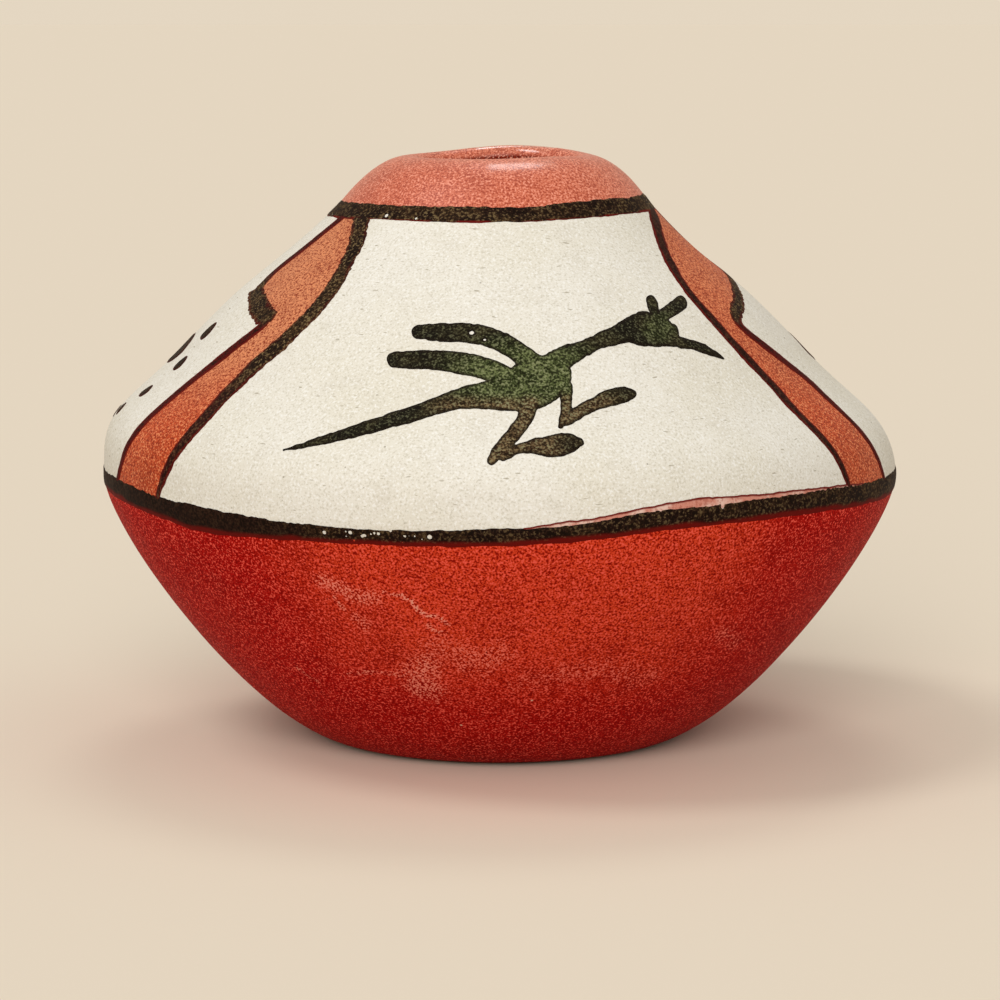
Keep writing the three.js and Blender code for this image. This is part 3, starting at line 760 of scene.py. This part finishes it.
# Scratches and worn patches of the bowl, as angles and heights along each, its width and its strength
SCUFFS = [
    ([(-16.6, 23), (-13.2, 22.4), (-12.2, 21.2), (-11, 20.5), (-9.1, 20.2), (-7.9, 19.3)], 0.32, 1),
    ([(-10.9, 19.3), (-9.5, 18.4), (-8, 18.3)], 0.3, 0.8),
    ([(-25.9, 23.9), (-23.2, 23.1), (-21.4, 22.3), (-18.6, 22.4)], 1.7, 0.5),
    ([(-24.6, 22), (-23.8, 20.8)], 0.35, 0.8),
    ([(-22.4, 19.8), (-21, 18.6)], 1.2, 0.35),
    ([(-12.5, 14.2), (-14.4, 12.6), (-13.4, 11)], 2.8, 0.5),
    ([(-28, 12.3), (-22.2, 12.9), (-16.6, 12.7)], 0.5, 0.5),
    ([(-39.2, 12.25), (-37.3, 11.2), (-35.7, 10.7)], 0.35, 0.6),
    ([(-9, 16.5), (-5, 14.6), (-1, 15.4)], 3.2, 0.3),
    ([(4, 12), (14, 13.5), (26, 12)], 2.6, 0.2),
    ([(38, 17), (44, 15)], 1.4, 0.25),
    ([(121, 22), (127, 20.5), (131, 18)], 0.35, 0.9),
    ([(160, 14), (172, 12.5), (184, 13.5)], 2.4, 0.4),
    ([(214, 24), (219, 22)], 1.3, 0.5),
    ([(250, 18), (256, 16.5), (259, 14)], 0.35, 0.9),
]


def stroke_depth(places, line, widths):
    """How far each place lies inside a brush stroke along a line. It is below zero outside."""
    deepest = np.full(places.shape[:-1], -np.inf)
    for start, end, first, last in zip(line, line[1:], widths, widths[1:]):
        along = end - start
        share = np.clip((places - start) @ along / (along @ along), 0, 1)
        gap = np.linalg.norm(places - start - share[..., None] * along, axis=-1)
        deepest = np.maximum(deepest, (first + (last - first) * share) / 2 - gap)
    return deepest


def scuff_field(net):
    """How rubbed the bowl is: narrow scratches and soft worn patches."""
    worn = np.zeros(net.angle.shape)
    for route, width, strength in SCUFFS:
        line = smooth_line(route, 12)
        points = wall(line[:, 0], distance_at(line[:, 1]))
        depth = stroke_depth(net.point, points, np.full(len(points), width))
        ragged = noise(net.point, 1.3, 71) * 0.35 * width
        worn = np.maximum(worn, strength * smoothstep(-width * 0.6, width * 0.4, depth + ragged))
    return worn


# How thinly the bowl was brushed, by angle. Its pale front and darker sides to left and right are partly
# painted light and shade.
THIN_SLIP_AND_LIGHT = [(-150, 0.35), (-115, 0.7), (-75, 0.1), (-42, 0.05), (-20, 0.7), (3, 0.95), (24, 0.8), (48, 0.2),
             (82, 0.05), (112, 0.6), (150, 0.2), (180, 0.85)]


def brush_bowl():
    tones = [(136, 3, 2), (184, 16, 11), (220, 66, 34), (250, 94, 76)]
    material = red_slip_finish("red_slip_bowl", tones, 0.6, 0.03, scuffed=True)
    net = Net(SLIP_CELL, SLIP_FOOT_GAP - SLIP_CELL, BELLY + SHOULDER_LINE)
    depth = np.minimum(slip_border(net.angle) - net.distance, net.distance - SLIP_FOOT_GAP)
    rise = -SLIP * smoothstep(SLIP_FOOT_GAP + SLIP, SLIP_FOOT_GAP, net.distance) * 0.6
    # Painted shade as well as thicker slip: the bowl keeps its darker plain tone towards the foot and turns
    # thin only higher up
    thin = around(THIN_SLIP_AND_LIGHT, net.angle) * smoothstep(4, 20, net.height)
    film("red_slip_bowl_fine", "red_slip", material, net, depth, rise, -SLIP,
         scuff=scuff_field(net), thin=thin)


# Where the stone polished the collar, as angles, places past the crest of the lip, and strength
POLISHED = [(136, 196, -0.8, 1.9, 1.0), (-6, 33, -4.2, -1.6, 0.4)]
# How far past the crest the painted shade of the mouth begins to darken the slip
MOUTH_SHADE_START = 1.8


def brush_collar():
    tones = [(164, 58, 30), (206, 96, 64), (220, 120, 88), (250, 162, 134)]
    material = red_slip_finish("red_slip_collar", tones, 0.42, 0.45, polished=True)
    net = Net(SLIP_CELL, NECK - NECK_LINE, LIP_END)
    end = LIP_END - SLIP_CELL / 2
    depth = np.minimum(net.distance - collar_border(net.angle), end - net.distance)
    rise = -SLIP * smoothstep(end - SLIP, end, net.distance) * 0.8
    past = net.distance - CREST
    polish = np.zeros(depth.shape)
    for start, stop, low, high, strength in POLISHED:
        reach = (stop - start) / 2 - np.abs(wrap(net.angle - (start + stop) / 2))
        polish = np.maximum(polish, strength * smoothstep(0, 4, reach) * smoothstep(low, low + 0.5, past)
                            * smoothstep(high, high - 0.5, past))
    # Its inside field is painted shade that darkens the slip past the crest, into the mouth
    film("red_slip_collar_fine", "red_slip", material, net, depth, rise, -SLIP,
         thin=0.5, polish=polish, inside=smoothstep(MOUTH_SHADE_START, MOUTH_SHADE_START + 0.4, past))


def panel_depth(net):
    """How far places lie inside the band of the panels, up and down the jar."""
    return np.minimum(net.distance - slip_border(net.angle), collar_border(net.angle) - net.distance)


def between_edges(net, left, right):
    """How far places lie between two edges, across the jar."""
    start, end = edge_angle(left, net.distance), edge_angle(right, net.distance)
    width = wrap(end - start)
    off = np.abs(wrap(net.angle - start - width / 2))
    return np.radians(width / 2 - off) * section(net.distance, 0)[0]


def brush_panels():
    tones = [(140, 46, 22), (200, 78, 38), (214, 134, 92), (242, 152, 102)]
    materials = {
        "red_slip": red_slip_finish("red_slip_divider", tones, 0.5, 0.08),
        "cream_slip": cream_slip_finish(),
    }
    net = Net(SLIP_CELL, BELLY - SHOULDER_LINE * 2, NECK + NECK_LINE)
    band = panel_depth(net)
    # Painted light: the dividers turn to their thin, lighter tone higher up, where more light falls from
    # above
    painted_top_light = smoothstep(38, 50, net.height)
    edges = list(LINES)
    for left, right in zip(edges, edges[1:] + edges[:1]):
        name = LINES[left][3]
        slot = "cream_slip" if name.startswith("cream") else "red_slip"
        depth = np.minimum(band, between_edges(net, left, right))
        thin = painted_top_light if name.endswith(("front_left", "back_right")) else 0.2 + 0.2 * painted_top_light
        film(f"{name}_fine", slot, materials[slot], net, depth, 0, -SLIP, thin=thin)


# Paint

# Small flakes missing from the paint, as angle, height and radius
CHIPS = [
    (-23.85, 29.5, 0.23), (-20.75, 29.7, 0.11), (-20.75, 29.2, 0.1), (-20.05, 29.65, 0.21),
    (-19.6, 28.75, 0.13), (-18.45, 29.3, 0.15), (-18.05, 29.4, 0.17), (-17.15, 29.6, 0.11),
    (-16.7, 29.7, 0.13), (-16.1, 29.65, 0.18), (-14.4, 29.95, 0.1), (-12.9, 28.8, 0.09),
    (-12.55, 29.5, 0.16), (-12, 29.55, 0.1), (-11.2, 29.55, 0.12), (-10.3, 29.25, 0.14),
    (-9.2, 29.5, 0.22), (30.8, 31.85, 0.2), (-59.3, 34.6, 0.25), (-3.9, 49.7, 0.26),
    (-1.3, 49, 0.16), (-40.5, 61.2, 0.22), (-27.5, 61, 0.18), (17.1, 49.35, 0.2),
    (-63.5, 33.1, 0.2), (140, 30, 0.3), (196, 30.9, 0.25), (228, 31.2, 0.3),
]


def ragged_edge(net, seed, dry=0.0):
    """The small wander of a brush's edge, which is rougher where the brush was dry."""
    wander = 0.1 * noise(net.point, 2.4, seed) + 0.06 * noise(net.point, 0.8, seed + 1)
    return wander + (0.04 + 0.16 * dry) * noise(net.point, 0.4, seed + 2)


def chip_away(net, depth):
    """Takes the flakes out of a coat of paint."""
    for angle, height, radius in CHIPS:
        middle = wall(angle, distance_at(height))
        gap = np.linalg.norm(net.point - middle, axis=-1)
        depth = np.minimum(depth, gap - radius * (1 + 0.4 * noise(net.point, 0.35, 81)))
    return depth


def lay_paint(name, slot, material, net, depth, thickness=PAINT, **fields):
    """A coat that swells up from its edge to its full thickness, and that its brush marks vary."""
    body = thickness * (0.85 + 0.15 * noise(net.point, 1.2, 91))
    rise = PAINT_LIFT + body * smoothstep(0, 0.35, depth)
    film(f"{name}_fine", slot, material, net, depth, rise, -PAINT_SINK, **fields)


def line_look(name, height):
    """How dry and how maroon a line was painted, by height."""
    if name.startswith("stepped"):
        step = smoothstep(48.8, 50, height) * smoothstep(54.4, 53.2, height)
        return 0.85 * step, 1 - step
    if name.endswith(("front_left", "back_right")):
        return 0.35 + 0.65 * smoothstep(41, 47, height), 0.35 * smoothstep(46, 40, height)
    return 0.15, 0.3


def slab_depth(net, corners, turn):
    """How far each place lies inside a slab with straight sides."""
    middle = sum(angle for angle, _ in corners) / len(corners)

    def flatten(angle, distance):
        off = np.radians(wrap(angle - turn - middle))
        return np.stack([off * section(distance, 0)[0], distance], axis=-1)

    places = flatten(net.angle, net.distance)
    points = [flatten(angle + turn, distance_at(height)) for angle, height in corners]
    depth = np.inf
    for start, end in zip(points, points[1:] + points[:1]):
        along = (end - start) / np.linalg.norm(end - start)
        off = places - start
        depth = np.minimum(depth, off[..., 0] * along[1] - off[..., 1] * along[0])
    return depth


def paint_line(name, material):
    angle, along, width = route_of(name)
    _, turn, slab, _ = LINES[name]
    margin = 8
    net = Net(PAINT_CELL, along.min() - 2, along.max() + 2, angle.min() - margin, angle.max() + margin)
    dry, maroon = line_look(name, net.height)
    depth = stroke_depth(net.point, wall(angle, along), width)
    if slab:
        depth = np.maximum(depth, slab_depth(net, slab, turn))
    depth = depth + ragged_edge(net, 51, dry)
    depth = chip_away(net, np.minimum(depth, panel_depth(net)))
    thin = 0.9 * smoothstep(0.45, 0.1, depth + 0.15 * noise(net.point, 1.5, 53)) * (1 - 0.7 * dry)
    lay_paint(name, "black_paint", material, net, depth, LINE_PAINT, thin=thin, dry=dry, maroon=maroon)


def paint_round(name, material, low, high, maroon_width, sand):
    """A line round the jar between the heights of its two edges. Its lower edge is a thin maroon wash."""
    net = Net(PAINT_CELL, distance_at(min(height for _, height in low)) - 2,
              distance_at(max(height for _, height in high)) + 2)
    below = net.distance - distance_at(around(low, net.angle))
    above = distance_at(around(high, net.angle)) - net.distance
    depth = np.minimum(below + ragged_edge(net, 55), above + ragged_edge(net, 58, 0.4))
    depth = chip_away(net, depth)
    thin = smoothstep(maroon_width, maroon_width * 0.4, below + 0.2 * noise(net.point, 2, 59))
    dry = around(sand, net.angle) * (0.5 + 0.5 * smoothstep(-0.1, 0.5, noise(net.point, 9, 61)))
    lay_paint(name, "black_paint", material, net, depth, thin=thin, dry=dry, maroon=0)


def paint_fringe():
    """A little of the wash ran out above the front right of the shoulder line."""
    first, last = FRINGE[0][0], FRINGE[-1][0]
    net = Net(PAINT_CELL, distance_at(29.5), distance_at(34), first, last)
    line = smooth_line(FRINGE, ROUTE_STEPS)
    above = distance_at(np.interp(net.angle, line[:, 0], line[:, 1])) - net.distance
    edge = above + ragged_edge(net, 67)
    below = net.distance - distance_at(around(SHOULDER_TOP, net.angle)) + 0.5
    depth = np.minimum(edge, below)
    rise = PAINT_LIFT + 0.02 * smoothstep(0, 0.2, depth)
    film("thin_wash", "red_slip", wash_finish(), net, depth, rise, -PAINT_SINK, edge=edge)


# The painted bird, as x, height and width along each stroke, seen from the front
BIRD = {
    "tail": [(-22.9, 37.7, 0.2), (-21.1, 38.2, 0.5), (-17.9, 39.1, 0.9), (-13.5, 40.4, 1.3),
             (-8.4, 41.9, 1.5), (-4.7, 43.1, 1.9), (-1.1, 43.8, 2.3)],
    "body": [(-5.3, 43, 1.6), (-2.1, 43.4, 2.4), (1.1, 43.9, 3.8), (3.7, 44.7, 5), (5.6, 45.3, 4)],
    "neck": [(4.9, 45.8, 3.1), (6.9, 47.1, 2.3), (8.7, 47.8, 1.7), (10.7, 48.6, 1.6), (12.5, 49.1, 1.9),
             (14, 49.6, 2.5)],
    "head": [(14, 49.6, 2.5), (15.7, 49.6, 3.4), (17.4, 49.2, 2.9), (18.5, 48.7, 2)],
    "brow": [(17.6, 49.6, 1.5), (18.7, 49.2, 1.5)],
    "beak": [(18.2, 48.4, 1.4), (20.1, 47.9, 1), (21.8, 47.4, 0.9), (23.1, 46.8, 0.7), (24.4, 46.1, 0.2)],
    "rear_crest": [(16.9, 51, 1.1), (16.6, 52, 1.2), (16.4, 52.4, 0.9)],
    "front_crest": [(17.4, 50.6, 1.3), (18.6, 51.2, 1.4), (19.9, 51.8, 1.5)],
    "upper_plume": [(-8.8, 49.6, 1.4), (-6.4, 49.6, 1.8), (-3.7, 49.6, 1.9), (-1.6, 49.3, 2),
                    (0.5, 48.5, 2), (2.3, 47.4, 2.1), (4, 46.1, 2.5)],
    "lower_plume": [(-11.3, 46.8, 1.6), (-8.5, 46.9, 1.9), (-5.9, 46.8, 2), (-3.4, 46.5, 2.2),
                    (-1.3, 46, 2.1), (0.5, 45.3, 2.1)],
    "rear_leg": [(3.1, 42.6, 1.8), (2.4, 41, 1.6), (1.3, 39.7, 1.5), (0.1, 38.5, 1.5), (-0.9, 37.4, 0.9)],
    "rear_foot": [(0.3, 37.9, 1.2), (2, 38.5, 1), (3.5, 38.7, 1.4), (5.5, 38.7, 2.1), (7, 38.9, 2),
                  (8.3, 39, 0.9)],
    "front_leg": [(7, 44.1, 1.5), (7, 42.8, 1.2), (6.8, 41.6, 1.1), (6.4, 40.6, 0.6)],
    "front_foot": [(6.9, 41.1, 1.1), (8.5, 41.9, 1.3), (10.1, 42.6, 1.3), (11.7, 43.1, 1.7),
                   (13.2, 43.3, 1.5), (14.1, 43.3, 0.8)],
}
BIRD_STEPS = 24


def paint_bird(name, material, turn):
    net = Net(PAINT_CELL, distance_at(35), distance_at(55), turn - 50, turn + 55)
    facing = -1 if turn else 1
    seen = np.stack([net.point[..., 0] * facing, net.point[..., 2]], axis=-1)
    depths = {}
    for stroke, points in BIRD.items():
        line = smooth_line(points, BIRD_STEPS)
        depths[stroke] = stroke_depth(seen, line[:, :2], line[:, 2])
    depth = np.maximum.reduce(list(depths.values()))
    edge = depth + 0.06 * noise(net.point, 0.9, 61 + facing) + 0.06 * noise(net.point, 0.4, 63)
    edge = chip_away(net, edge)

    def oval(middle, reach):
        """0 at the middle of an oval and 1 at its edge."""
        return np.linalg.norm((seen - middle) / reach, axis=-1)

    breast, head = oval([2.5, 45.4], [8.5, 3.6]), oval([17.4, 49.6], [2.2, 1.6])
    olive = np.maximum(smoothstep(1.3, 0.5, breast), 0.5 * smoothstep(1.2, 0.5, head))
    limbs = np.maximum.reduce([depths[part] for part in ("rear_leg", "rear_foot", "front_leg", "front_foot")])
    brown = 0.9 * smoothstep(-0.2, 0.2, limbs) * smoothstep(44.2, 42.6, seen[..., 1])
    tips = np.minimum(oval([13.8, 43.4], [2.6, 1.6]), oval([8, 39], [2.6, 1.6]))
    brown = brown * (1 - 0.8 * smoothstep(1.2, 0.4, tips))
    belly = smoothstep(43.8, 42.4, seen[..., 1])
    belly = belly * smoothstep(-9, -4, seen[..., 0]) * smoothstep(6, 2, seen[..., 0])
    brown = np.maximum(brown, 0.85 * belly)
    dry = np.full(edge.shape, 0.3) + 0.4 * olive + 0.3 * brown
    lay_paint(name, "olive_paint", material, net, edge, edge=edge, olive=olive, brown=brown, dry=dry)


# Marks of the side panels: a big one on each, and dots in an arc beside and below the left one
MARK_LEVEL = 45.2
LEFT_MARK = -87.8
RIGHT_MARK = 95.5
ARC_MIDDLE = -90
ARC_LEVEL = 44.3
ARC_RADIUS = 10.8
ARC_FLATNESS = 0.9
DOT_COUNT = 9
DOT_TURN = 30
ARC_START = 150
DOT_WIDTH = 2.6
DOT_HEIGHT = 2.3
MARK_WIDTH = 10.2
MARK_HEIGHT = 4.9


def paint_spot(name, material, angle, distance, width, height, slant, seed):
    """A short touch of the brush, an oval that narrows where the brush lifted."""
    reach = math.degrees(width / section(distance, 0)[0])
    net = Net(PAINT_CELL / 1.5, distance - height, distance + height, angle - reach, angle + reach)
    up = (net.distance - distance) * 2 / height
    across = np.radians(net.angle - angle) * section(net.distance, 0)[0] * 2 / width - slant * up
    depth = (1 - np.hypot(across * (1 + 0.25 * up), up)) * min(width, height) / 2
    depth = depth + 0.1 * noise(net.point, 1.1, seed) + 0.05 * noise(net.point, 0.4, seed + 1)
    thin = 0.4 * smoothstep(0.3, 0.0, depth)
    lay_paint(name, "black_paint", material, net, depth, thin=thin, dry=0.3, maroon=0)


def paint_side_marks(material):
    mark = distance_at(MARK_LEVEL)
    for name, angle, seed in (("left_side_mark", LEFT_MARK, 65), ("right_side_mark", RIGHT_MARK, 66)):
        paint_spot(name, material, angle, mark, MARK_WIDTH, MARK_HEIGHT, 0.2, seed)
    dice = np.random.default_rng(12)
    for number in range(DOT_COUNT):
        turn = math.radians(ARC_START + number * DOT_TURN)
        distance = distance_at(ARC_LEVEL) + ARC_RADIUS * ARC_FLATNESS * math.sin(turn)
        across = ARC_RADIUS * math.cos(turn) / section(distance, 0)[0]
        width = DOT_WIDTH * dice.uniform(0.92, 1.05)
        height = DOT_HEIGHT * dice.uniform(0.85, 1.15)
        paint_spot(f"left_side_dot_{number + 1}", material, ARC_MIDDLE - math.degrees(across), distance,
                   width, height, dice.uniform(0.0, 0.3), 100 + number)


def brush_paint():
    black = black_paint_finish()
    paint_round("shoulder_line", black, SHOULDER_BOTTOM, SHOULDER_TOP, 0.75, SHOULDER_SAND)
    paint_round("neck_line", black, NECK_BOTTOM, NECK_TOP, 0.12, NECK_SAND)
    paint_fringe()
    for name in LINES:
        paint_line(name, black)
    bird = bird_paint_finish()
    paint_bird("front_bird", bird, 0)
    paint_bird("back_bird", bird, 180)
    paint_side_marks(black)


# Stage

def split_by_ray(tree, lighting, seen, output):
    """Gives one shader to rays that light things and another to camera, glossy and transmission rays.

    Both shaders come as the outputs of their nodes.
    """
    rays = add_node(tree, "LightPath", {})
    looking = rays["Is Camera Ray"]
    for ray in ("Is Glossy Ray", "Is Transmission Ray"):
        looking = add_node(tree, "Math", {0: looking, 1: rays[ray]}, operation="MAXIMUM")[0]
    mix = add_node(tree, "MixShader", {0: looking, 1: lighting[0], 2: seen[0]})
    feed(tree, tree.nodes[output].inputs["Surface"], mix[0])


# The floor's colour to the eye and its colour as it lights the jar. Both are shares of the light.
FLOOR_SEEN = (0.9, 0.78, 0.62, 1)
FLOOR_LIGHT = (0.54, 0.46, 0.37, 1)
SKY = 0.45
SKY_COLOUR = (1, 0.99, 0.97, 1)
# Far soft lamps: elevation, azimuth, strength and size. Azimuth 0 stands behind the camera, and a
# positive one to its right.
LAMPS = {
    "key": (25, -6, 1.55, 35),
    "side": (62, -80, 0.45, 18),
    "back": (58, 176, 0.3, 18),
}


def lay_floor():
    """A wide pale floor. It gives back less light than it shows."""
    reach = 30.0
    corners = [(-reach, -reach, 0), (reach, -reach, 0), (reach, reach, 0), (-reach, reach, 0)]
    mesh = bpy.data.meshes.new("floor")
    mesh.from_pydata(corners, [], [(0, 1, 2, 3)])
    material = bpy.data.materials.new("floor")
    material.use_nodes = True
    tree = material.node_tree
    tree.nodes.remove(tree.nodes["Principled BSDF"])
    shaders = [add_node(tree, "BsdfDiffuse", {"Color": colour}) for colour in (FLOOR_LIGHT, FLOOR_SEEN)]
    split_by_ray(tree, *shaders, "Material Output")
    mesh.materials.append(material)
    floor = add_object("floor", mesh)


def light_world():
    """An even sky. Seen directly or in gloss, it is as bright as the open floor."""
    level = SKY + sum(strength * math.sin(math.radians(elevation))
                      for elevation, _, strength, _ in LAMPS.values()) / math.pi
    world = bpy.data.worlds.new("studio")
    bpy.context.scene.world = world
    world.use_nodes = True
    tree = world.node_tree
    sky = tree.nodes["Background"]
    sky.inputs["Color"].default_value = SKY_COLOUR
    sky.inputs["Strength"].default_value = SKY
    seen = add_node(tree, "Background", {"Color": FLOOR_SEEN, "Strength": level})
    split_by_ray(tree, sky.outputs, seen, "World Output")


def add_lamps():
    for name, (elevation, azimuth, strength, angle) in LAMPS.items():
        sun = bpy.data.lights.new(name, "SUN")
        sun.energy = strength
        sun.angle = math.radians(angle)
        lamp = add_object(name, sun)
        lamp.rotation_euler = (math.radians(90 - elevation), 0, math.radians(azimuth))


CAMERA_DISTANCE = 0.4
CAMERA_HEIGHT = 0.0833
CAMERA_PITCH = 8.0
CAMERA_LENS = 124.3


def place_camera():
    camera = bpy.data.cameras.new("camera")
    camera.lens = CAMERA_LENS
    camera.sensor_width = 36
    camera.clip_start = 0.01
    holder = add_object("camera", camera)
    holder.location = (0, -CAMERA_DISTANCE, CAMERA_HEIGHT)
    holder.rotation_euler = (math.radians(90 - CAMERA_PITCH), 0, 0)
    bpy.context.scene.camera = holder


place_camera()
lay_floor()
light_world()
add_lamps()
bpy.context.scene.view_settings.view_transform = "Standard"

lay_clay()
brush_bowl()
brush_collar()
brush_panels()
brush_paint()
